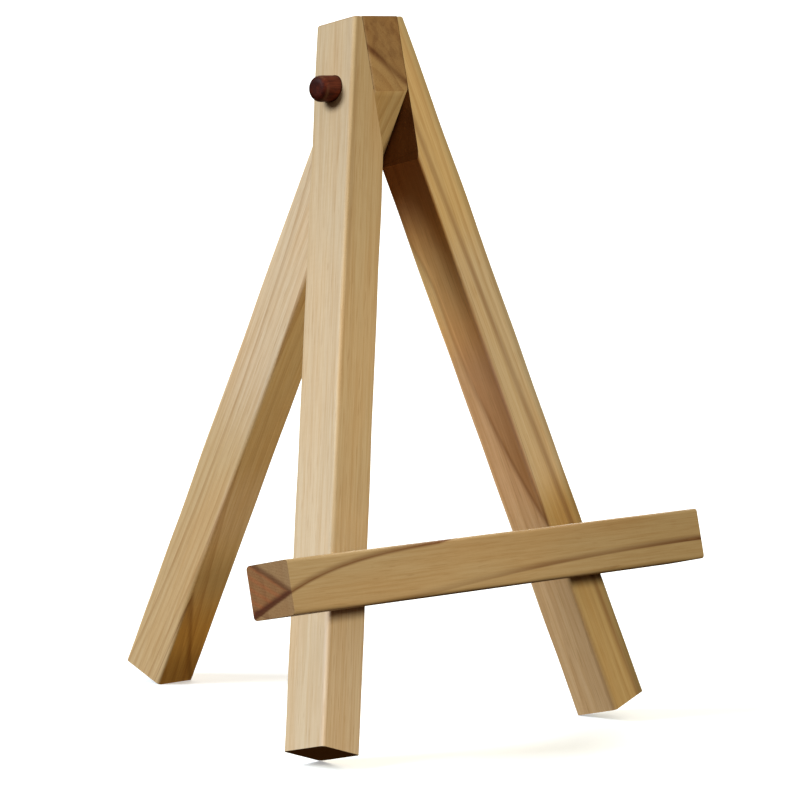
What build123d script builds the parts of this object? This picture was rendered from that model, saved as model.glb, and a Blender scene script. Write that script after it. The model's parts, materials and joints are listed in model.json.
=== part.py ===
from build123d import *
import os
from math import cos, hypot, radians, sin

# A small folding tripod easel of square pine sticks: two front legs that meet at the top,
# a rear leg that swings between them on a dowel, and a ledge across the front.
# Millimetres and degrees. X runs along the ledge, the front faces -Y, Z is up, the easel
# stands on Z = 0, and the origin is under the middle of its box.

# ---- driving dimensions ----
stick = 12.0             # square section of every stick
edge_ease = 0.7          # radius of the sanded long edges
frame_height = 167.5     # floor to top cut, measured up the front plane
front_lean = 15.0        # the front plane leans back from upright
leg_splay = 16.7         # each front leg turns outwards from the middle line
rear_spread = 37.5       # rear leg to front plane, as it stands
tip_width = 2.35         # what the mitre leaves of a front leg at the top cut
rear_side_gap = 0.28     # between the rear leg and each front leg's mitre
ledge_length = 145.0
ledge_rise = 35.0        # floor to the ledge's underside, up the front plane
pin_diameter = 6.0
pin_below_top = 15.6     # top cut to pin centre
pin_running_gap = 0.05   # radial, in the rear leg only
pin_stand_left = 5.5     # how far the pin stands proud of each front leg
pin_stand_right = 2.0
pin_end_round = 1.6
brad_diameter = 1.2
brad_length = 20.0
brad_head_diameter = 2.0
brad_head_thickness = 0.5

# ---- directions ----
lean_sin = sin(radians(front_lean))
lean_cos = cos(radians(front_lean))
splay_sin = sin(radians(leg_splay))
splay_cos = cos(radians(leg_splay))
rear_sin = sin(radians(rear_spread - front_lean))
rear_cos = cos(radians(rear_spread - front_lean))
half = stick / 2


def depth_of(up, back):
    """Distance towards +Y of a point this far up the front plane and behind it."""
    return up * lean_sin + back * lean_cos


def height_of(up, back):
    """Height of a point this far up the front plane and behind it."""
    return up * lean_cos - back * lean_sin


# ---- front leg: the bottom is cut square to the leg, so it stands on its inner back corner ----
corner_slope = splay_sin * lean_cos
corner_drop = (half - edge_ease) * (corner_slope + lean_sin) + edge_ease * hypot(corner_slope, lean_sin)
foot_up = (half * lean_sin + corner_drop) / lean_cos
mitre_offset = half + rear_side_gap
axis_top_x = mitre_offset + tip_width - half * splay_cos
axis_top_up = frame_height - half * splay_sin
axis_length = (axis_top_up - foot_up) / splay_cos
foot_x = axis_top_x + axis_length * splay_sin

# ---- rear leg: it stands on the front edge of its square-cut bottom ----
pin_up = frame_height - pin_below_top
pin_height = height_of(pin_up, half)
rear_reach = (pin_height - half * rear_sin) / rear_cos

# ---- middle of the box, front to back ----
ledge_nose = depth_of(ledge_rise + edge_ease, edge_ease - stick) - edge_ease
rear_heel = depth_of(pin_up, half) + rear_reach * rear_sin + half * rear_cos
front_line = -(ledge_nose + rear_heel) / 2


def frame_point(across, up, back):
    """A point given across, up and behind the front plane."""
    return Vector(across, front_line + depth_of(up, back), height_of(up, back))


front_plane = Plane(origin=frame_point(0, 0, 0), x_dir=(1, 0, 0), z_dir=(0, -lean_cos, lean_sin))
top_plane = Plane(origin=frame_point(0, frame_height, 0), x_dir=(1, 0, 0), z_dir=(0, lean_sin, lean_cos))
back_plane = front_plane.offset(-stick)
pin_centre = frame_point(0, pin_up, half)
pin_plane = Plane(origin=pin_centre, x_dir=(0, 1, 0), z_dir=(1, 0, 0))

# Where the pin leaves a front leg's outer face, and how long the pin is.
pin_exit_x = mitre_offset + tip_width + pin_below_top * splay_sin / splay_cos
pin_left_x = -(pin_exit_x + pin_stand_left)
pin_length = 2 * pin_exit_x + pin_stand_left + pin_stand_right

# Each brad crosses a front leg's centre line at the middle of the ledge.
brad_up = ledge_rise + half
brad_x = axis_top_x + (axis_top_up - brad_up) * splay_sin / splay_cos
brad_ends = [(-brad_x, brad_up), (brad_x, brad_up)]

overlength = 3 * stick   # what each blank has to spare before its top is cut


# ---- front legs ----
leg_up = Vector(-splay_sin, splay_cos * lean_sin, splay_cos * lean_cos)
leg_out = Vector(splay_cos, splay_sin * lean_sin, splay_sin * lean_cos)
leg_foot_plane = Plane(origin=frame_point(foot_x, foot_up, half), x_dir=leg_out, z_dir=leg_up)

with BuildPart() as front_leg_right:
    with BuildSketch(leg_foot_plane):
        RectangleRounded(stick, stick, edge_ease)
    extrude(amount=axis_length + overlength)
    split(bisect_by=Plane.YZ.offset(mitre_offset), keep=Keep.TOP)
    split(bisect_by=top_plane, keep=Keep.BOTTOM)
    with BuildSketch(pin_plane):
        Circle(pin_diameter / 2)
    extrude(amount=ledge_length / 2, mode=Mode.SUBTRACT)
    with BuildSketch(back_plane):
        with Locations(brad_ends[1]):
            Circle(brad_diameter / 2)
    extrude(amount=stick, mode=Mode.SUBTRACT)
    with BuildSketch(back_plane):
        with Locations(brad_ends[1]):
            Circle(brad_head_diameter / 2)
    extrude(amount=brad_head_thickness, mode=Mode.SUBTRACT)

with BuildPart() as front_leg_left:
    mirror(front_leg_right.part, about=Plane.YZ)

# ---- rear leg: its top is trimmed flush with the front plane and with the top cut ----
rear_up = Vector(0, -rear_sin, rear_cos)
rear_foot = pin_centre - rear_up * rear_reach
rear_foot_plane = Plane(origin=rear_foot, x_dir=(1, 0, 0), z_dir=rear_up)

with BuildPart() as rear_leg:
    with BuildSketch(rear_foot_plane):
        RectangleRounded(stick, stick, edge_ease)
    extrude(amount=rear_reach + overlength)
    split(bisect_by=front_plane, keep=Keep.BOTTOM)
    split(bisect_by=top_plane, keep=Keep.BOTTOM)
    with BuildSketch(pin_plane):
        Circle(pin_diameter / 2 + pin_running_gap)
    extrude(amount=stick, both=True, mode=Mode.SUBTRACT)

# ---- ledge, on the front faces of the front legs ----
ledge_section = Plane(
    origin=frame_point(-ledge_length / 2, ledge_rise + half, -half),
    x_dir=(0, -lean_cos, lean_sin),
    z_dir=(1, 0, 0),
)

with BuildPart() as ledge:
    with BuildSketch(ledge_section):
        RectangleRounded(stick, stick, edge_ease)
    extrude(amount=ledge_length)
    with BuildSketch(back_plane):
        with Locations(brad_ends):
            Circle(brad_diameter / 2)
    extrude(amount=brad_length, mode=Mode.SUBTRACT)

# ---- pivot pin, a dowel with rounded ends ----
with BuildPart() as pivot_pin:
    with BuildSketch(pin_plane.offset(pin_left_x)):
        Circle(pin_diameter / 2)
    extrude(amount=pin_length)
    fillet(pivot_pin.edges().filter_by(GeomType.CIRCLE), radius=pin_end_round)

# ---- brads that hold the ledge, driven from behind and set flush ----
with BuildPart() as ledge_brads:
    with BuildSketch(back_plane):
        with Locations(brad_ends):
            Circle(brad_diameter / 2)
    extrude(amount=brad_length)
    with BuildSketch(back_plane):
        with Locations(brad_ends):
            Circle(brad_head_diameter / 2)
    extrude(amount=brad_head_thickness)

# ---- write the pieces ----
pieces = {
    "front_leg_left": front_leg_left,
    "front_leg_right": front_leg_right,
    "rear_leg": rear_leg,
    "ledge": ledge,
    "pivot_pin": pivot_pin,
    "ledge_brads": ledge_brads,
}
os.makedirs("parts", exist_ok=True)
for name, piece in pieces.items():
    piece.part.label = name
    export_step(piece.part, f"parts/{name}.step")

ledge_seat = frame_point(0, ledge_rise + stick, -half)
box = Compound(children=[piece.part for piece in pieces.values()]).bounding_box()
print("pin centre", pin_centre)
print("ledge seat centre", ledge_seat)
print("box", box.min, box.max)
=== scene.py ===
import json
from math import atan2, cos, hypot, pi, radians, sin, tan

import bmesh
import bpy
from mathutils import Matrix, Vector, noise


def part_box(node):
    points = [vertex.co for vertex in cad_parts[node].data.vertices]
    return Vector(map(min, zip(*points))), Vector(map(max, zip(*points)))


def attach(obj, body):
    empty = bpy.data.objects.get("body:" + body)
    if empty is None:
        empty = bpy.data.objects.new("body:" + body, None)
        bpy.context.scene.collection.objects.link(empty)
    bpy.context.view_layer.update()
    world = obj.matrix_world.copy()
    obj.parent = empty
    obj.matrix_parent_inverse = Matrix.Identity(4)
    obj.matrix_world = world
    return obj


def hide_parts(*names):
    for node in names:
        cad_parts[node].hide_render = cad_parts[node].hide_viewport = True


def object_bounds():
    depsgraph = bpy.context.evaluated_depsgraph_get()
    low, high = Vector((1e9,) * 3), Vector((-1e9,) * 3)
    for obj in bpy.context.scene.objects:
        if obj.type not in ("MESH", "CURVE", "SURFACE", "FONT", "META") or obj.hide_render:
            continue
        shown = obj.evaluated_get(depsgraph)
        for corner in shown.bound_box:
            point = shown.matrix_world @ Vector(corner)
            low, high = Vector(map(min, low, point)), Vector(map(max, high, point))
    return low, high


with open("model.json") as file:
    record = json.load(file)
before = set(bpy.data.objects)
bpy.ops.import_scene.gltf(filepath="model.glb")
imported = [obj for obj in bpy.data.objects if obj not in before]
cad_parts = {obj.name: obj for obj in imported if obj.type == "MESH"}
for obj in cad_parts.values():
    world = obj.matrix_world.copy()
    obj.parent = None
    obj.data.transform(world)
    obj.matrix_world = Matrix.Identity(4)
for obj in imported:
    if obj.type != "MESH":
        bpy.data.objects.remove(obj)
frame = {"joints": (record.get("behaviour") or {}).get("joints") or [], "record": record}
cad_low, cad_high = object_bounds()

# A small tripod display easel: four square pine sticks, a stained dowel and two brads.
# Metres, in the row frame: X along the ledge, the front faces -Y, Z up.

MM = 0.001

# ------------------------------------------------------------------ sizes
# From the frame.
UP = Vector(frame["record"]["mounts"][0]["axis"])      # up the front plane
BACK = Vector((0, UP.z, -UP.y))                        # square to the front plane, backwards
SEAT = Vector(frame["record"]["mounts"][0]["pos_m"])   # middle of the ledge's top face
PIN = Vector(frame["joints"][0]["pos_m"])
ledge_low, ledge_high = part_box("ledge")
rear_low, rear_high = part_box("rear_leg")
pin_low, pin_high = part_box("pivot_pin")
HALF = (rear_high.x - rear_low.x) / 2                  # half a stick's thickness
PIN_RADIUS = (pin_high.z - pin_low.z) / 2
FRONT = PIN - BACK * HALF                              # on the front plane, level with the pin
TOP = (cad_high.z - FRONT.z) / UP.z                    # from there up to the top cut

# From the design.
LEG_SPLAY = radians(16.7)
REAR_SPREAD = radians(37.5)
TIP_WIDTH = 2.35 * MM
SIDE_GAP = 0.28 * MM                                   # places the front legs
SHOWN_GAP = SIDE_GAP / 3                               # left at the mitres, narrower than the CAD's
EDGE_EASE = 0.7 * MM
PIN_CLEARANCE = 0.06 * MM                              # round the dowel, so that no facets cross
PIN_END_ROUND = 1.6 * MM
BRAD_HEAD_RADIUS = 1.0 * MM
BRAD_HEAD_DEPTH = 0.5 * MM
BRAD_RADIUS = 0.6 * MM
BRAD_LENGTH = 20 * MM

# Workmanship.
END_CHAMFER = 0.28 * MM                                # round a foot, a top and the ledge's ends
FIT_CHAMFER = 0.05 * MM                                # round the faces that meet at the pin
UNEVEN = 0.06 * MM                                     # how hollow a flat is at most
SPARE = 36 * MM                                        # a stick's length before its top is cut

# Meshes.
LOOP_STEP = 2.5 * MM                                   # between the loops round a stick
CORNER_STEPS = 4
FLAT_STOPS = (-0.95, -0.6, -0.2, 0.2, 0.6, 0.95)       # across a flat, as parts of its half width
PIN_SIDES = 72
PIN_HOLE_SIDES = 64
BRAD_SIDES = 32
CREASE = radians(28)                                   # sharper edges than this are shaded hard


# ------------------------------------------------------------------ meshes
# Stick space: x across, y deep, z along the grain, from the middle of the foot or left end.
def link(name, bm, place):
    """A new object whose mesh is moved from stick space to its place."""
    bmesh.ops.recalc_face_normals(bm, faces=bm.faces)
    bm.transform(place)
    mesh = bpy.data.meshes.new(name)
    bm.to_mesh(mesh)
    bm.free()
    obj = bpy.data.objects.new(name, mesh)
    bpy.context.scene.collection.objects.link(obj)
    return obj


def placed(origin, across, along):
    """Matrix from stick space to the row frame."""
    axes = Matrix((across, along.cross(across), along)).transposed().to_4x4()
    return Matrix.Translation(origin) @ axes


def aimed(origin, along):
    """The same for a round piece, which may lie any way round its axis."""
    return Matrix.Translation(origin) @ along.to_track_quat("Z", "Y").to_matrix().to_4x4()


def section(z, seed):
    """One loop round a stick: flats a hair hollow, corners sanded by an amount that wanders."""
    loop = []
    for side in range(4):
        wander = noise.noise(Vector((z * 60, side * 7.3, seed)))
        radius = EDGE_EASE * (1.3 + 0.5 * wander)
        centre = HALF - radius
        turns = [step * pi / 2 / CORNER_STEPS for step in range(CORNER_STEPS + 1)]
        corner = [Vector((centre + radius * cos(t), centre + radius * sin(t), z)) for t in turns]
        flat = [Vector((-stop * centre, HALF, z)) for stop in FLAT_STOPS]
        for point in corner + flat:
            point.rotate(Matrix.Rotation(side * pi / 2, 3, "Z"))
            hollow = 0.5 + 0.5 * noise.noise(point * 150 + Vector((0, 0, seed - z * 128)))
            shrink = 1 - UNEVEN * hollow / HALF
            loop.append(Vector((point.x * shrink, point.y * shrink, z)))
    return loop


def break_edge(bm, face, width, inwards):
    """A fine chamfer round a cut face: it shrinks, and its old rim drops back along the stick."""
    rim = list(face.verts)
    bmesh.ops.inset_individual(bm, faces=[face], thickness=width, depth=0)
    for vert in rim:
        vert.co.z += inwards * width


def stick(name, place, length, seed, cuts=()):
    """A square stick. Each cut is a point and an outward normal in the row frame, and its chamfer's width."""
    bm = bmesh.new()
    steps = round(length / LOOP_STEP)
    loops = [[bm.verts.new(p) for p in section(k * length / steps, seed)] for k in range(steps + 1)]
    for low, high in zip(loops, loops[1:]):
        for i in range(len(low)):
            bm.faces.new((low[i - 1], low[i], high[i], high[i - 1]))
    break_edge(bm, bm.faces.new(list(reversed(loops[0]))), END_CHAMFER, 1)

    # A far end's face carries the number of its chamfer's width: 1 for the square end, then the cuts.
    bm.faces.new(loops[-1]).material_index = 1
    into = place.inverted()
    widths = [END_CHAMFER]
    for point, normal, width in cuts:
        widths.append(width)
        cut = bmesh.ops.bisect_plane(
            bm, geom=bm.verts[:] + bm.edges[:] + bm.faces[:],
            plane_co=into @ point, plane_no=into.to_3x3() @ normal, clear_outer=True,
        )
        rim = [e for e in cut["geom_cut"] if isinstance(e, bmesh.types.BMEdge)]
        for face in bmesh.ops.contextual_create(bm, geom=rim)["faces"]:
            face.material_index = len(widths)
    for face in [f for f in bm.faces if f.material_index]:
        break_edge(bm, face, widths[face.material_index - 1], -1)

    # Where two cuts share a rim its chamfers can stand proud, of the cuts and of the stick.
    for vert in bm.verts:
        vert.co.x = max(-HALF, min(HALF, vert.co.x))
        vert.co.y = max(-HALF, min(HALF, vert.co.y))
        for point, normal, _ in cuts:
            outward = into.to_3x3() @ normal
            vert.co -= outward * max(0.0, (vert.co - into @ point).dot(outward))
    return link(name, bm, place)


def drill(obj, start, end, radius, sides):
    """Drills a round hole from start to end."""
    axis = end - start
    bm = bmesh.new()
    bmesh.ops.create_cone(
        bm, cap_ends=True, segments=sides, radius1=radius, radius2=radius, depth=axis.length)
    tool = link("drill", bm, aimed((start + end) / 2, axis))
    cut = obj.modifiers.new("drill", "BOOLEAN")
    cut.operation = "DIFFERENCE"
    cut.solver = "EXACT"
    cut.object = tool
    bpy.context.view_layer.update()
    drilled = obj.evaluated_get(bpy.context.evaluated_depsgraph_get())
    obj.data = bpy.data.meshes.new_from_object(drilled)
    obj.modifiers.clear()
    bpy.data.objects.remove(tool)


def turned(name, place, profile, sides):
    """A round piece about its z axis. The profile is (z, radius), from one end's middle to the other's."""
    bm = bmesh.new()
    loops = []
    for z, radius in profile:
        turns = [2 * pi * t / sides for t in range(sides if radius else 1)]
        loops.append([bm.verts.new((radius * cos(t), radius * sin(t), z)) for t in turns])
    for low, high in zip(loops, loops[1:]):
        for t in range(sides):
            if len(low) == 1:
                corners = [low[0], high[t], high[t - 1]]
            elif len(high) == 1:
                corners = [low[t - 1], low[t], high[0]]
            else:
                corners = [low[t - 1], low[t], high[t], high[t - 1]]
            bm.faces.new(corners)
    return link(name, bm, place)


def finish_mesh(obj, place):
    """Smooth shading with hard edges, and the two attributes that the materials read.

    stick_place is a point's place in stick space, in millimetres. cut_across is about 0 on a side, 1
    on a square-cut end, and in between on a slanting cut, a chamfer or a rounded corner of an end.
    """
    mesh = obj.data
    bm = bmesh.new()
    bm.from_mesh(mesh)
    for face in bm.faces:
        face.smooth = True
    for edge in bm.edges:
        edge.smooth = edge.calc_face_angle(0) < CREASE
    bm.to_mesh(mesh)
    bm.free()
    into = place.inverted()
    along = place.to_3x3() @ Vector((0, 0, 1))
    spot = mesh.attributes.new("stick_place", "FLOAT_VECTOR", "POINT")
    for vert in mesh.vertices:
        spot.data[vert.index].vector = (into @ vert.co) / MM
    across = mesh.attributes.new("cut_across", "FLOAT", "FACE")
    for face in mesh.polygons:
        across.data[face.index].value = abs(face.normal.dot(along))


# ------------------------------------------------------------------ front legs
# Each stands on the inner back corner of a foot cut square, and is mitred against the rear leg.
leg_top_x = HALF + SIDE_GAP + TIP_WIDTH - HALF * cos(LEG_SPLAY)
leg_top = FRONT + UP * (TOP - HALF * sin(LEG_SPLAY)) + BACK * HALF
corner_slope = sin(LEG_SPLAY) * UP.z
foot_drop = (HALF - EDGE_EASE) * (corner_slope + UP.y) + EDGE_EASE * hypot(corner_slope, UP.y)
leg_length = (leg_top.z - foot_drop) / (cos(LEG_SPLAY) * UP.z)
brad_up = (SEAT - FRONT).dot(UP) - HALF                # level with the middle of the ledge
brad_x = leg_top_x + (TOP - HALF * sin(LEG_SPLAY) - brad_up) * tan(LEG_SPLAY)
brad_head = FRONT + UP * brad_up + BACK * 2 * HALF     # on the legs' backs
top_cut = (FRONT + UP * TOP, UP, END_CHAMFER)


def front_leg(name, side, seed):
    """side is -1 for the left leg and 1 for the right."""
    sideways = Vector((side, 0, 0))
    along = UP * cos(LEG_SPLAY) - sideways * sin(LEG_SPLAY)
    across = Vector((cos(LEG_SPLAY), 0, 0)) + UP * side * sin(LEG_SPLAY)
    place = placed(leg_top + sideways * leg_top_x - along * leg_length, across, along)
    mitre = (PIN + sideways * (HALF + SHOWN_GAP), -sideways, FIT_CHAMFER)
    leg = stick(name, place, leg_length + SPARE, seed, [mitre, top_cut])
    well_past = PIN + sideways * 8 * HALF
    drill(leg, PIN, well_past, PIN_RADIUS + PIN_CLEARANCE, PIN_HOLE_SIDES)

    # The brad's head sits in a recess that is a little wider and deeper.
    head = brad_head + sideways * brad_x
    recess_end = head - BACK * BRAD_HEAD_DEPTH * 1.2
    drill(leg, head + BACK * MM, recess_end, BRAD_HEAD_RADIUS * 1.06, BRAD_SIDES)
    finish_mesh(leg, place)
    return leg


left_leg = front_leg("easel_front_leg_left", -1, 3.0)
right_leg = front_leg("easel_front_leg_right", 1, 11.0)


# ------------------------------------------------------------------ rear leg
# Its top is trimmed flush with the front plane and with the top cut.
rear_turn = REAR_SPREAD - atan2(UP.y, UP.z)
rear_up = Vector((0, -sin(rear_turn), cos(rear_turn)))
rear_reach = (PIN.z - HALF * sin(rear_turn)) / cos(rear_turn)
rear_place = placed(PIN - rear_up * rear_reach, Vector((1, 0, 0)), rear_up)
front_cut = (FRONT, -BACK, FIT_CHAMFER)
rear_leg = stick("easel_rear_leg", rear_place, rear_reach + SPARE, 23.0, [front_cut, top_cut])
through = Vector((2 * HALF, 0, 0))
drill(rear_leg, PIN - through, PIN + through, PIN_RADIUS + PIN_CLEARANCE, PIN_HOLE_SIDES)
finish_mesh(rear_leg, rear_place)


# ------------------------------------------------------------------ ledge
ledge_place = placed(SEAT - UP * HALF + Vector((ledge_low.x, 0, 0)), -UP, Vector((1, 0, 0)))
ledge = stick("easel_ledge", ledge_place, ledge_high.x - ledge_low.x, 31.0)
finish_mesh(ledge, ledge_place)


# ------------------------------------------------------------------ dowel and brads
def rounded_end(radius, rounding, steps=8):
    """An end whose rim is rounded, from its middle outwards, as (z, radius)."""
    arc = [t * pi / 2 / steps for t in range(steps + 1)]
    rim = [(rounding * (1 - sin(t)), radius - rounding * (1 - cos(t))) for t in reversed(arc)]
    return [(0, 0), (0, (radius - rounding) * 0.5)] + rim


def dowel():
    length = pin_high.x - pin_low.x
    end = rounded_end(PIN_RADIUS, PIN_END_ROUND)
    middle = [(length * k / 16, PIN_RADIUS) for k in range(2, 15)]
    profile = end + middle + [(length - z, radius) for z, radius in reversed(end)]
    place = Matrix.Translation((pin_low.x, PIN.y, PIN.z)) @ Matrix.Rotation(pi / 2, 4, "Y")
    piece = turned("easel_pivot_dowel", place, profile, PIN_SIDES)
    finish_mesh(piece, place)
    return piece


def brad(name, side):
    """A steel brad, from its slightly domed head to its point."""
    profile = [
        (0.10 * BRAD_HEAD_DEPTH, 0), (0.16 * BRAD_HEAD_DEPTH, 0.6 * BRAD_HEAD_RADIUS),
        (0.35 * BRAD_HEAD_DEPTH, 0.93 * BRAD_HEAD_RADIUS), (0.6 * BRAD_HEAD_DEPTH, BRAD_HEAD_RADIUS),
        (BRAD_HEAD_DEPTH, 0.95 * BRAD_HEAD_RADIUS), (BRAD_HEAD_DEPTH, BRAD_RADIUS),
        (BRAD_LENGTH - 3 * BRAD_RADIUS, BRAD_RADIUS), (BRAD_LENGTH, 0),
    ]
    place = aimed(brad_head + Vector((side * brad_x, 0, 0)), -BACK)
    piece = turned(name, place, profile, BRAD_SIDES)
    finish_mesh(piece, place)
    return piece


pin = dowel()
left_brad = brad("easel_brad_left", -1)
right_brad = brad("easel_brad_right", 1)


# ------------------------------------------------------------------ materials
class Shading:
    """Builds one material's nodes as expressions.

    x, y and z are the point's place in stick space, in millimetres, and across is cut_across.
    """

    def __init__(self, name):
        self.material = bpy.data.materials.new(name)
        self.material.use_nodes = True
        self.nodes = self.material.node_tree.nodes
        self.shader = self.nodes["Principled BSDF"]
        place = self.node("ShaderNodeAttribute", attribute_name="stick_place").outputs["Vector"]
        self.x, self.y, self.z = self.node("ShaderNodeSeparateXYZ", {"Vector": place}).outputs
        self.across = self.node("ShaderNodeAttribute", attribute_name="cut_across").outputs["Fac"]

    def node(self, kind, inputs=None, **settings):
        node = self.nodes.new(kind)
        for setting, value in settings.items():
            setattr(node, setting, value)
        for socket, value in (inputs or {}).items():
            self.feed(node.inputs[socket], value)
        return node

    def feed(self, socket, value):
        if isinstance(value, bpy.types.NodeSocket):
            self.material.node_tree.links.new(value, socket)
        else:
            socket.default_value = value

    def calc(self, operation, *values):
        return self.node("ShaderNodeMath", dict(enumerate(values)), operation=operation).outputs[0]

    def sum(self, *terms):
        """Adds up (factor, value) pairs and plain values."""
        total = None
        for term in terms:
            if isinstance(term, tuple):
                term = self.calc("MULTIPLY", term[0], term[1])
            total = term if total is None else self.calc("ADD", total, term)
        return total

    def times(self, *values):
        total = values[0]
        for value in values[1:]:
            total = self.calc("MULTIPLY", total, value)
        return total

    def rise(self, value, start, end):
        """A smooth step from 0 at start to 1 at end, which may run backwards."""
        inputs = {"Value": value, "From Min": start, "From Max": end}
        step = self.node("ShaderNodeMapRange", inputs, interpolation_type="SMOOTHSTEP")
        return step.outputs["Result"]

    def between(self, value, start, full, fading, end):
        """0 up to start, 1 from full to fading, and 0 again from end on."""
        return self.times(self.rise(value, start, full), self.rise(value, end, fading))

    def spots(self, wide, long, detail=2.0, shift=0.0, roughness=0.5):
        """Noise from 0 to 1, with features this many millimetres wide and long."""
        scaled = self.node("ShaderNodeCombineXYZ", {
            "X": self.sum((1 / wide, self.x), shift), "Y": self.sum((1 / wide, self.y), shift * 1.7),
            "Z": self.sum((1 / long, self.z), shift * 0.6),
        }).outputs[0]
        inputs = {"Vector": scaled, "Scale": 1.0, "Detail": detail, "Roughness": roughness}
        return self.node("ShaderNodeTexNoise", inputs).outputs["Fac"]

    def blend(self, amount, first, second, how="MIX"):
        node = self.node("ShaderNodeMix", data_type="RGBA", blend_type=how)
        sockets = [s for s in node.inputs if s.enabled]
        for socket, value in zip(sockets, (amount, first, second)):
            self.feed(socket, (*value, 1) if isinstance(value, tuple) else value)
        return [s for s in node.outputs if s.enabled][0]

    def tint(self, amount, colour, by):
        """Multiplies a colour by another, as far as amount says."""
        return self.blend(amount, colour, by, "MULTIPLY")

    def gloss(self, roughness, specular):
        self.feed(self.shader.inputs["Roughness"], roughness)
        self.shader.inputs["Specular IOR Level"].default_value = specular

    def bump(self, height, distance):
        normal = self.node("ShaderNodeBump", {"Height": height, "Distance": distance}).outputs["Normal"]
        self.feed(self.shader.inputs["Normal"], normal)


# Wood colours.
PALE = (0.66, 0.465, 0.225)
LATE = (0.38, 0.19, 0.055)
RESIN = (0.21, 0.075, 0.014)

# Tints, which multiply a colour. Those named painted stand wholly or partly for painted light or shade.
HEART = (0.86, 0.70, 0.58)
# The deeper heart tints also carry painted shade.
DEEP_HEART_AND_PAINTED_SHADE = (0.60, 0.38, 0.26)
DARK_HEART_AND_PAINTED_SHADE = (0.33, 0.18, 0.10)
PINK = (1.14, 0.94, 0.88)
# Amber wood, and near the rear foot partly painted light.
AMBER_AND_PAINTED_LIGHT = (1.16, 0.92, 0.46)
# Warmer wood, partly painted light.
WARM_AND_PAINTED_LIGHT = (1.22, 1.15, 0.95)
COOL = (0.97, 1.05, 1.35)
# Paler wood, and below the left leg's ledge painted light.
PALER_AND_PAINTED_LIGHT = (1.13, 1.20, 1.50)
# Duller wood, and in places painted shade.
DULL_WOOD_AND_PAINTED_SHADE = (0.62, 0.57, 0.44)
# Painted shade: greys a front above the ledge and along the right leg's outer edge.
PAINTED_GREY_SHADE = (0.74, 0.78, 0.82)
CLOUDY = (1.0, 0.93, 0.84)
FIBRE = (0.90, 0.84, 0.75)
HAIR = (0.93, 0.90, 0.86)
END_GRAIN = (0.56, 0.44, 0.32)
PORE = (0.70, 0.62, 0.55)
# Wear, and on the palest corners a painted highlight.
WEAR_AND_PAINTED_HIGHLIGHT = (1.12, 1.10, 1.06)

REACH = 72.0                                           # mm along a stick over which bow is measured


def pine(name, marks, seed, pith, ring, bow, strength, tone, wear_and_painted_highlight):
    """Planed pine, bare and finely sanded.

    marks adds what is particular to the stick: it takes the shading and the rings' wander, and
    returns how dark the stick's own resinous lines are, and tints as (amount, colour).
    pith is the tree's centre in the stick's section, and ring the rings' spacing, in millimetres.
    bow is how far the rings drift over 72 mm along the stick, and where along it they turn back.
    strength is the rings' darkness, tone the whole stick's tint, and wear_and_painted_highlight how pale its
    corners are, from wear and, at its highest, a painted highlight.
    """
    s = Shading(name)
    wander = s.sum((3.0, s.spots(16, 80, detail=1.0, shift=seed)), -1.5)
    ripple = s.sum((0.5, s.spots(5, 28, shift=seed + 3)), -0.25)
    radius = s.calc("SQRT", s.sum(
        s.calc("POWER", s.sum(s.x, -pith[0]), 2.0), s.calc("POWER", s.sum(s.y, -pith[1]), 2.0)))
    drift = s.calc("POWER", s.sum((1 / REACH, s.z), -bow[1] / REACH), 2.0)
    count = s.sum((1 / ring, s.sum(radius, wander, ripple, (-bow[0], drift))), 40.0 + seed)
    year = s.node("ShaderNodeTexWhiteNoise", {"W": s.calc("FLOOR", count)}, noise_dimensions="1D")
    latewood = s.between(s.calc("FRACT", count), 0.30, 0.93, 0.93, 1.0)
    dark = s.times(strength, latewood, s.sum(0.3, (0.7, year.outputs["Value"])))
    lines, tints = marks(s, wander)

    fibres = s.spots(0.55, 26, detail=3.0, shift=seed + 7, roughness=0.6)
    hairs = s.spots(0.16, 5, shift=seed + 11)
    canals = s.times(0.3, s.rise(s.spots(0.32, 6, detail=0.0, shift=seed + 17), 0.70, 0.80))
    clouds = s.spots(9, 45, shift=seed + 23)
    cut = s.rise(s.across, 0.25, 0.8)
    side = s.sum(1.0, (-1.0, cut))

    colour = s.blend(dark, PALE, LATE)
    colour = s.blend(s.times(lines, s.sum(0.5, clouds)), colour, RESIN)
    for amount, tint in tints:
        colour = s.tint(amount, colour, tint)
    colour = s.tint(s.rise(clouds, 0.35, 0.75), colour, CLOUDY)
    colour = s.tint(s.times(side, s.rise(fibres, 0.38, 0.72)), colour, FIBRE)
    colour = s.tint(s.times(side, s.rise(hairs, 0.35, 0.75)), colour, HAIR)
    colour = s.blend(s.times(side, canals), colour, LATE)
    colour = s.tint(cut, colour, END_GRAIN)
    colour = s.tint(s.times(cut, s.rise(hairs, 0.5, 0.72)), colour, PORE)
    nearest = s.calc("MINIMUM", s.calc("ABSOLUTE", s.x), s.calc("ABSOLUTE", s.y))
    # Paler corners: wear, and where strongest a painted highlight on the rounded edges.
    arris = s.times(s.rise(nearest, 5.0, 5.75), side, s.sum(0.35, (0.6, clouds)))
    colour = s.tint(s.times(arris, wear_and_painted_highlight), colour, WEAR_AND_PAINTED_HIGHLIGHT)
    colour = s.tint(1.0, colour, tone)
    s.feed(s.shader.inputs["Base Color"], colour)

    s.gloss(s.sum(0.50, (0.16, fibres), (-0.10, dark), (0.16, cut)), specular=0.25)
    saw = s.calc("SINE", s.sum((9.0, s.sum(s.x, (0.35, s.y))), (5.0, clouds)))
    planer = s.calc("SINE", s.sum((4.2, s.z), (3.0, clouds)))
    tools = s.sum(s.times(0.12, cut, saw), s.times(0.05, side, planer))
    s.bump(s.sum((0.55, fibres), (0.3, hairs), (0.5, dark), tools), distance=0.05 * MM)
    return s.material


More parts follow.
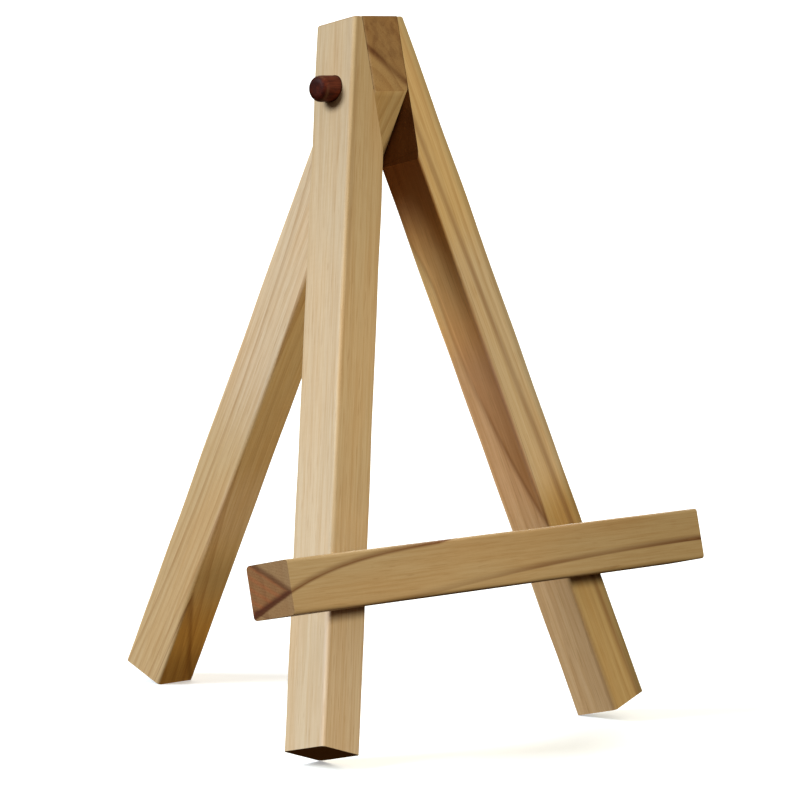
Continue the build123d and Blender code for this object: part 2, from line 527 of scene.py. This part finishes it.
# What is particular to each stick. Its sides are at x and y = -6 and 6, the front one at y = -6,
# and its length along z starts at its foot, or at the ledge's left end.
def on_front(s):
    return s.rise(s.y, -4.5, -5.5)


def on_low_x(s):
    """On the side at x = -6: the right leg's inner side, and the rear leg's left one."""
    return s.rise(s.x, -5.0, -5.9)


def ledge_marks(s, wander):
    """A wedge of heartwood that thins out along the ledge, and one strong ring that rises to the far end.

    On the left end the wedge is a V whose point is at the front. Its point climbs along the front,
    steeply at first, and leaves by the top edge.
    """
    climb = s.sum(
        7.2, (-7.2, s.calc("EXPONENT", s.times(-1 / 22, s.z))),
        (0.12, s.calc("MAXIMUM", s.sum(s.z, -50.0), 0.0)))
    point = s.sum((-1.0, climb), (0.25, wander), 0.9)
    sway = s.times(s.rise(s.z, 1.0, 30.0), s.sum((0.7, s.spots(9, 40, detail=1.0, shift=57.0)), -0.35))
    inside = s.times(s.sum(s.y, 6.0), s.sum(1.0, sway))
    upper = s.sum(s.x, (-1.0, point), (0.68, inside))
    lower = s.sum((-1.0, s.x), point, (0.40, inside))
    wedge = s.calc("MINIMUM", upper, lower)
    fade = s.sum(1.0, (-0.45, s.times(s.rise(inside, 1.0, 9.0), s.rise(s.z, 2.0, 20.0))))

    upper_rim = s.times(s.between(upper, -1.3, 0.0, 0.1, 1.4), s.rise(lower, -0.7, 0.2))
    lower_rim = s.times(s.between(lower, -0.7, 0.05, 0.3, 1.9), s.rise(upper, -0.7, 0.2))
    rims = s.times(fade, s.calc("MAXIMUM", s.times(0.8, upper_rim), s.times(1.1, lower_rim)))
    run = s.calc("POWER", s.sum((1 / 94.5, s.z), -143.5 / 94.5), 2.0)
    ring = s.sum(s.x, (-3.75, run), (0.30, wander), (0.55, inside), -1.5)
    darker = s.sum(0.3, (0.33, s.rise(s.z, 55.0, 92.0)), (0.5, s.rise(s.z, 110.0, 145.0)))
    lines = s.sum((0.9, rims), s.times(darker, s.between(ring, -1.6, 0.0, 0.0, 0.35)))

    stripes = s.rise(s.calc("SINE", s.sum((2.4, upper), (1.5, wander))), -0.2, 0.9)
    return lines, [
        (s.times(fade, s.rise(wedge, -0.2, 0.6)), HEART),
        (s.times(0.6, s.rise(s.z, 50.0, 140.0)), DULL_WOOD_AND_PAINTED_SHADE),
        (s.times(fade, s.rise(wedge, 0.3, 1.0), stripes), PINK),
    ]


def left_leg_marks(s, wander):
    """Dull lines beside the outer front corner, and a duller top.

    The front is greyer just above the ledge, a painted shade, and paler below it, painted light against the
    ledge's shadow.
    """
    front = on_front(s)
    front_line = s.times(s.between(s.x, -5.5, -4.9, -4.6, -3.4), front, s.rise(s.z, 85.0, 125.0))
    side_line = s.times(s.between(s.y, -5.2, -4.6, -4.2, -2.6), s.rise(s.x, -4.5, -5.5))
    # Painted shade on the front above the ledge, deepest where the two meet.
    painted_shade_by_ledge = s.sum((0.4, s.rise(s.z, 80.0, 48.0)), (0.4, s.rise(s.z, 53.0, 45.0)))
    return s.sum((0.22, front_line), (0.06, side_line)), [
        (s.times(0.36, s.rise(s.z, 85.0, 160.0)), DULL_WOOD_AND_PAINTED_SHADE),
        # Painted grey shade above the ledge, and painted light on the front below it.
        (s.times(front, s.rise(s.z, 40.0, 44.0), painted_shade_by_ledge), PAINTED_GREY_SHADE),
        (s.times(0.6, front, s.rise(s.z, 38.0, 26.0)), PALER_AND_PAINTED_LIGHT),
    ]


def right_leg_marks(s, wander):
    """Heartwood that skins the inner side and runs out at the front edge, and one broad ring.

    The ring runs down the front. The inner side is pinker where the heartwood thins out. High up, its
    heartwood is deepened and the mitre darkened with painted shade, and in its middle it is warmer and paler,
    partly painted light. The front has painted shade just above the ledge and along its outer edge.
    """
    front = on_front(s)
    behind_front = s.rise(s.y, -6.0, -5.3)
    inner = s.times(behind_front, on_low_x(s))
    high = s.rise(s.z, 105.0, 135.0)
    spread = s.calc("POWER", s.calc("MAXIMUM", s.sum((-1 / 51, s.z), 98 / 51), 0.0), 2.0)
    from_inner = s.sum(s.x, 6.0)
    steep = s.sum(10.0, (14.0, high))
    edge = s.sum(s.y, (8.0, spread), (steep, from_inner), (0.4, wander), (-6.0, high), -2.9)
    ring = s.sum(s.x, (0.05, s.z), (-0.08, s.sum(s.y, 6.0)), (0.3, wander), -3.9)
    run_out = s.times(s.rise(s.z, 25.0, 50.0), s.sum(0.35, (0.15, s.rise(s.z, 85.0, 60.0))))
    lines = s.sum(
        (run_out, s.between(edge, -0.8, 0.0, 0.0, 1.5)), (0.5, s.between(ring, -1.7, -0.1, 0.1, 1.5)))

    # Over 1 high up on the inner side, where the rest goes into the deeper tint: painted shade where the left
    # and rear legs shade that side.
    heart_depth_and_painted_shade = s.sum(0.6, (1.4, s.times(on_low_x(s), s.rise(s.z, 105.0, 145.0))))
    on_sides = s.rise(s.across, 0.26, 0.12)
    heart_and_painted_shade = s.times(s.rise(edge, 0.6, -0.5), on_sides, heart_depth_and_painted_shade, behind_front)
    # The mitre's dark tint is painted shade, coloured like heartwood.
    on_mitre = s.between(s.across, 0.12, 0.26, 0.35, 0.5)
    pink = s.times(s.rise(s.z, 112.0, 80.0), s.sum(0.5, (0.5, s.rise(s.z, 35.0, 60.0))))
    # Painted shade on the front: just above the ledge, and by the outer rim near the foot.
    painted_shade_by_ledge = s.sum(s.rise(s.z, 60.0, 46.0), (-0.5, s.rise(s.z, 44.0, 34.0)))
    painted_shade_at_foot_rim = s.times(0.6, s.rise(s.x, 3.0, 5.5), s.rise(s.z, 34.0, 8.0))
    return lines, [
        (heart_and_painted_shade, HEART),
        # Past the plain heartwood, painted shade high up on the inner side and on the mitre.
        (s.sum(heart_and_painted_shade, -1.0), DEEP_HEART_AND_PAINTED_SHADE),
        (on_mitre, DARK_HEART_AND_PAINTED_SHADE),
        (s.times(heart_and_painted_shade, s.rise(s.z, 85.0, 58.0)), DULL_WOOD_AND_PAINTED_SHADE),
        (s.times(inner, pink), PINK),
        # Warmer and paler in the middle of the inner side, partly painted light over its shaded part.
        (s.times(inner, s.between(s.z, 84.0, 97.0, 118.0, 132.0)), WARM_AND_PAINTED_LIGHT),
        (s.times(front, s.between(s.z, 48.0, 60.0, 105.0, 125.0)), COOL),
        # Painted shade on the front above the ledge and by the foot's outer rim.
        (s.times(front, s.sum(painted_shade_by_ledge, painted_shade_at_foot_rim)), DULL_WOOD_AND_PAINTED_SHADE),
        # Painted shade along the front's outer edge, which turns away from the light.
        (s.times(front, s.rise(s.x, 2.4, 5.2)), PAINTED_GREY_SHADE),
    ]


def rear_leg_marks(s, wander):
    """A resinous patch at the top, behind one ring, and a ring that runs out on the front near the foot.

    The left side is paler towards the top. The front is paler in its lower middle, and darker and
    then more amber towards the foot, where the amber tint also lightens it as painted light.
    """
    front = on_front(s)
    top = s.rise(s.z, 146.0, 156.0)
    top_ring = s.sum(s.y, (0.42, s.x), (0.2, wander), 2.2)
    patch = s.times(top, s.rise(top_ring, -0.6, 0.4))
    blotches = s.rise(s.spots(2.2, 3.0, detail=1.0, shift=41.0), 0.42, 0.66)
    foot = s.rise(s.z, 40.0, 25.0)
    bend = s.calc("POWER", s.sum((1 / REACH, s.z), -1.0), 2.0)
    foot_ring = s.sum((3.0, s.sum(s.y, 6.0)), (0.42, s.x), (-8.0, bend), (0.2, wander), 5.74)
    lines = s.sum(
        (0.55, s.times(top, s.between(top_ring, -1.2, -0.1, 0.1, 1.0))),
        (0.3, s.times(patch, blotches)),
        (0.5, s.times(foot, s.between(foot_ring, -0.8, 0.0, 0.0, 0.5))))
    return lines, [
        (s.sum((0.4, patch), (0.35, s.rise(s.z, 110.0, 40.0))), HEART),
        (s.times(0.5, patch), DULL_WOOD_AND_PAINTED_SHADE),
        (s.times(on_low_x(s), s.rise(s.z, 55.0, 85.0)), PALER_AND_PAINTED_LIGHT),
        (s.times(0.7, front, s.between(s.z, 34.0, 44.0, 50.0, 62.0)), PALER_AND_PAINTED_LIGHT),
        (s.times(0.55, front, s.between(s.z, 10.0, 20.0, 28.0, 38.0)), DULL_WOOD_AND_PAINTED_SHADE),
        # The amber tint also lightens the foot's front, as painted light.
        (s.times(front, s.rise(s.x, -5.9, -5.2), s.rise(s.z, 30.0, 12.0)), AMBER_AND_PAINTED_LIGHT),
    ]


pine_left = pine(
    "pine_front_leg_left", left_leg_marks, seed=1.3, pith=(24.0, -20.0), ring=2.4, bow=(0.6, 60.0),
    strength=0.16, tone=(0.98, 1.02, 1.31), wear_and_painted_highlight=1.0)
pine_right = pine(
    "pine_front_leg_right", right_leg_marks, seed=5.1, pith=(-30.0, -22.0), ring=2.6, bow=(0.8, 90.0),
    strength=0.34, tone=(1.04, 1.03, 1.08), wear_and_painted_highlight=0.5)
pine_rear = pine(
    "pine_rear_leg", rear_leg_marks, seed=8.7, pith=(-11.0, -25.0), ring=1.9, bow=(4.0, 72.0),
    strength=0.45, tone=(0.99, 0.99, 1.06), wear_and_painted_highlight=0.5)
pine_ledge = pine(
    "pine_ledge", ledge_marks, seed=12.9, pith=(2.0, 34.0), ring=3.2, bow=(0.5, 40.0),
    strength=0.28, tone=(0.865, 0.87, 1.03), wear_and_painted_highlight=0.5)


def stained_dowel():
    """A dark reddish-brown stain, duller on the ends and a little paler round their rims."""
    s = Shading("stained_dowel")
    streaks = s.spots(0.35, 7, detail=3.0, shift=2.0, roughness=0.6)
    blotches = s.spots(2.2, 4, shift=9.0)
    end = s.rise(s.across, 0.45, 0.95)
    rim = s.rise(s.calc("ABSOLUTE", s.sum(s.across, -0.45)), 0.35, 0.0)
    colour = s.blend(s.rise(blotches, 0.3, 0.7), (0.125, 0.022, 0.008), (0.055, 0.007, 0.002))
    colour = s.tint(s.rise(streaks, 0.4, 0.7), colour, (0.55, 0.45, 0.42))
    colour = s.blend(s.times(0.25, rim, s.rise(blotches, 0.35, 0.6)), colour, (0.26, 0.13, 0.065))
    colour = s.tint(end, colour, (0.60, 0.42, 0.30))
    s.feed(s.shader.inputs["Base Color"], colour)
    s.gloss(s.sum(0.46, (0.22, streaks)), specular=0.12)
    s.bump(s.sum((0.6, streaks), (0.4, blotches)), distance=0.06 * MM)
    return s.material


def brad_steel():
    """Bright wire with some tarnish."""
    s = Shading("brad_steel")
    tarnish = s.spots(0.5, 0.5, detail=3.0, shift=4.0)
    colour = s.blend(s.rise(tarnish, 0.4, 0.7), (0.46, 0.45, 0.43), (0.26, 0.23, 0.20))
    s.feed(s.shader.inputs["Base Color"], colour)
    s.shader.inputs["Metallic"].default_value = 1.0
    s.gloss(s.sum(0.28, (0.25, tarnish)), specular=0.5)
    s.bump(s.spots(0.12, 0.12, shift=6.0), distance=0.02 * MM)
    return s.material


steel = brad_steel()
for obj, body, node, slot, material in (
    (left_leg, "front_frame", "front_leg_left", "pine", pine_left),
    (right_leg, "front_frame", "front_leg_right", "pine", pine_right),
    (rear_leg, "rear_leg", "rear_leg", "pine", pine_rear),
    (ledge, "front_frame", "ledge", "pine", pine_ledge),
    (pin, "front_frame", "pivot_pin", "stained_dowel", stained_dowel()),
    (left_brad, "front_frame", "ledge_brads", "brad_steel", steel),
    (right_brad, "front_frame", "ledge_brads", "brad_steel", steel),
):
    obj.data.materials.clear()
    obj.data.materials.append(material)
    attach(obj, body)
    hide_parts(node)


# ------------------------------------------------------------------ camera, floor and light
def point_camera(position, forward, up, lens):
    camera = bpy.data.cameras.new("camera")
    camera.lens = lens
    camera.sensor_width = 36
    camera.clip_start = 0.01
    right = forward.cross(up).normalized()
    obj = bpy.data.objects.new("camera", camera)
    turn = Matrix((right, right.cross(forward), -forward)).transposed().to_4x4()
    obj.matrix_world = Matrix.Translation(position) @ turn
    bpy.context.scene.collection.objects.link(obj)
    bpy.context.scene.camera = obj


def lay_floor(half_width, glow):
    """A pale floor that takes shadows, glows enough to look white, and throws no light on the easel."""
    corners = [(-1, -1), (1, -1), (1, 1), (-1, 1)]
    mesh = bpy.data.meshes.new("floor")
    mesh.from_pydata([(x * half_width, y * half_width, 0) for x, y in corners], [], [(0, 1, 2, 3)])
    paint = bpy.data.materials.new("floor")
    paint.use_nodes = True
    shader = paint.node_tree.nodes["Principled BSDF"]
    shader.inputs["Base Color"].default_value = (0.92, 0.92, 0.92, 1)
    shader.inputs["Roughness"].default_value = 0.9
    shader.inputs["Emission Color"].default_value = (1, 1, 1, 1)
    shader.inputs["Emission Strength"].default_value = glow
    mesh.materials.append(paint)
    floor = bpy.data.objects.new("floor", mesh)
    floor.visible_diffuse = False
    floor.visible_glossy = False
    bpy.context.scene.collection.objects.link(floor)


def light_sky(stops):
    """A soft sky that changes with height.

    Each of the three stops is a height, from 0 straight down to 1 straight up, and a colour.
    """
    world = bpy.data.worlds.new("world")
    world.use_nodes = True
    nodes, links = world.node_tree.nodes, world.node_tree.links
    direction = nodes.new("ShaderNodeTexCoord")
    height = nodes.new("ShaderNodeSeparateXYZ")
    links.new(direction.outputs["Generated"], height.inputs[0])
    rescale = nodes.new("ShaderNodeMapRange")
    rescale.inputs["From Min"].default_value = -1
    links.new(height.outputs["Z"], rescale.inputs["Value"])
    ramp = nodes.new("ShaderNodeValToRGB")
    links.new(rescale.outputs["Result"], ramp.inputs["Fac"])
    elements = ramp.color_ramp.elements
    elements.new(0.5)                                  # a third one, between the two that are there
    for element, (position, colour) in zip(elements, stops):
        element.position = position
        element.color = (*colour, 1)
    links.new(ramp.outputs["Color"], nodes["Background"].inputs["Color"])
    nodes["Background"].inputs["Strength"].default_value = 1.0
    bpy.context.scene.world = world


def softbox(name, direction, spread, strength, colour):
    """A far, wide light in the direction given."""
    light = bpy.data.lights.new(name, "SUN")
    light.angle = spread
    light.energy = strength
    light.color = colour
    obj = bpy.data.objects.new(name, light)
    obj.rotation_euler = direction.to_track_quat("Z", "Y").to_euler()
    bpy.context.scene.collection.objects.link(obj)


# The camera was found by fitting the easel's edges and corners to the photo.
point_camera(
    position=Vector((-0.7773, -0.6787, 0.1877)),
    forward=Vector((0.75893, 0.64180, -0.11008)).normalized(),
    up=Vector((0.05618, 0.10388, 0.99300)),
    lens=202.2,
)
lay_floor(half_width=12, glow=0.35)
light_sky([(0.44, (0.05, 0.025, 0.008)), (0.51, (0.07, 0.06, 0.05)), (1.0, (0.50, 0.48, 0.42))])
softbox("key", Vector((-0.80, 0.32, 0.50)), radians(26), 4.0, (0.77, 0.89, 1.0))
softbox("fill", Vector((0.15, -0.91, 0.41)), radians(13), 1.85, (1.0, 0.95, 0.68))
softbox("back", Vector((0.75, 0.50, 0.43)), radians(30), 1.6, (1.0, 0.97, 0.90))
bpy.context.scene.view_settings.view_transform = "Standard"
